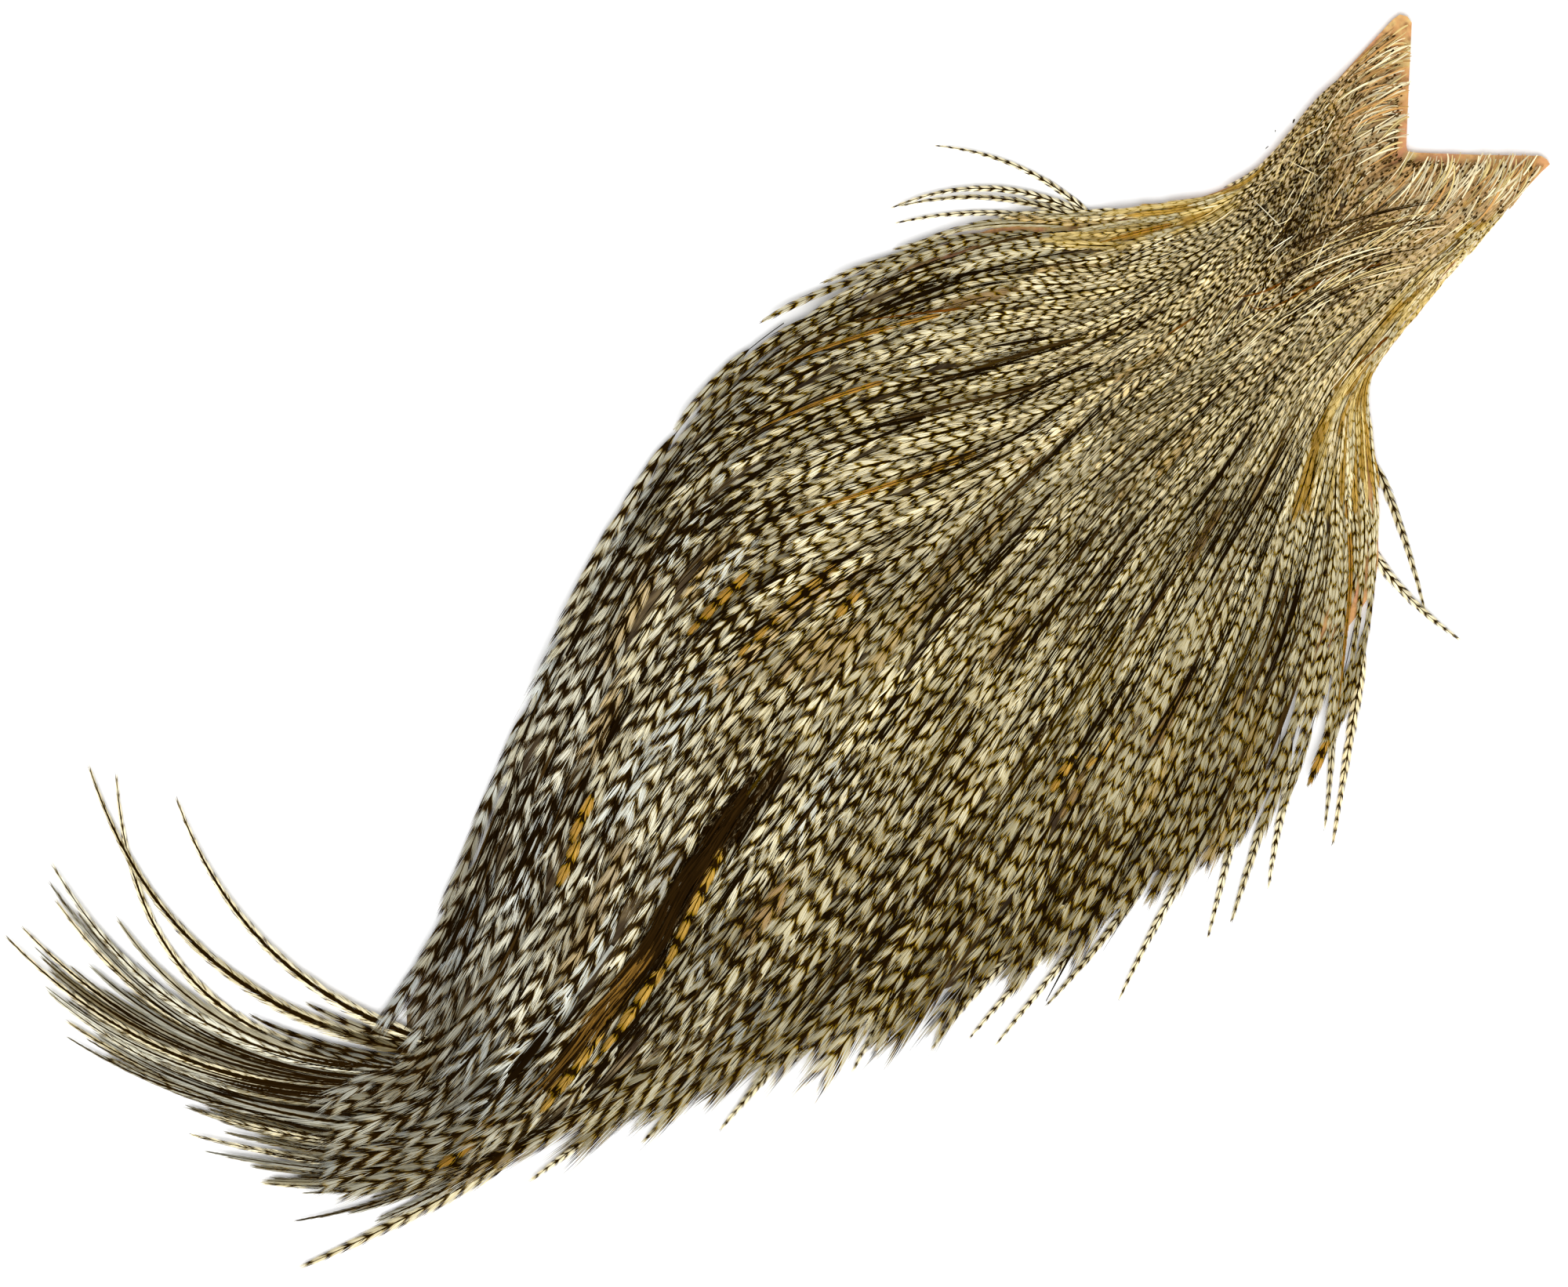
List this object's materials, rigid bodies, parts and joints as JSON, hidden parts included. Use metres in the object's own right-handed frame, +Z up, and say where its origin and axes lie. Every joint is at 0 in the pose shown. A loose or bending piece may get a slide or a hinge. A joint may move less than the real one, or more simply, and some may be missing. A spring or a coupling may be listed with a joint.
{
  "type": "rooster dry fly cape",
  "caption": "Tanned rooster neck hide lying flat, with a notched head end and a full coat of barred cream and brown hackles that fan out loose at the tail.",
  "frame": {"origin": "on the hide's flat underside, on the centreline, 120 mm behind the notch's apex", "axes": "+Z up from the table, +Y along the centreline towards the notched head end, +X to the cape's right"},
  "size_m": [0.1879, 0.3562, 0.0159],
  "materials": {
    "hide": "dry tanned skin, pinkish tan",
    "barred_hackle": "soft feather, cream barred with dark brown",
    "brown_hackle": "soft feather, dark brown",
    "amber_hackle": "soft feather, amber brown"
  },
  "bodies": {
    "root": {"skin": "hide", "coat": "barred_hackle", "tail_hackle_01": "barred_hackle", "tail_hackle_02": "amber_hackle", "tail_hackle_03": "brown_hackle", "tail_hackle_04": "barred_hackle", "tail_hackle_05": "brown_hackle", "tail_hackle_06": "barred_hackle", "tail_hackle_07": "brown_hackle", "tail_hackle_08": "barred_hackle", "tail_hackle_09": "brown_hackle", "tail_hackle_10": "barred_hackle", "tail_hackle_11": "barred_hackle", "tail_hackle_12": "amber_hackle", "tail_hackle_13": "brown_hackle", "stray_hackle_01": "brown_hackle", "stray_hackle_02": "barred_hackle", "stray_hackle_03": "brown_hackle", "stray_hackle_04": "barred_hackle", "stray_hackle_05": "brown_hackle", "stray_hackle_06": "barred_hackle", "stray_hackle_07": "amber_hackle", "stray_hackle_08": "brown_hackle", "stray_hackle_09": "barred_hackle", "stray_hackle_10": "barred_hackle", "stray_hackle_11": "brown_hackle", "stray_hackle_12": "barred_hackle", "stray_hackle_13": "barred_hackle", "stray_hackle_14": "brown_hackle", "stray_hackle_15": "barred_hackle", "stray_hackle_16": "brown_hackle", "stray_hackle_17": "barred_hackle", "stray_hackle_18": "barred_hackle", "stray_hackle_19": "brown_hackle", "stray_hackle_20": "barred_hackle"}
  },
  "joints": []
}
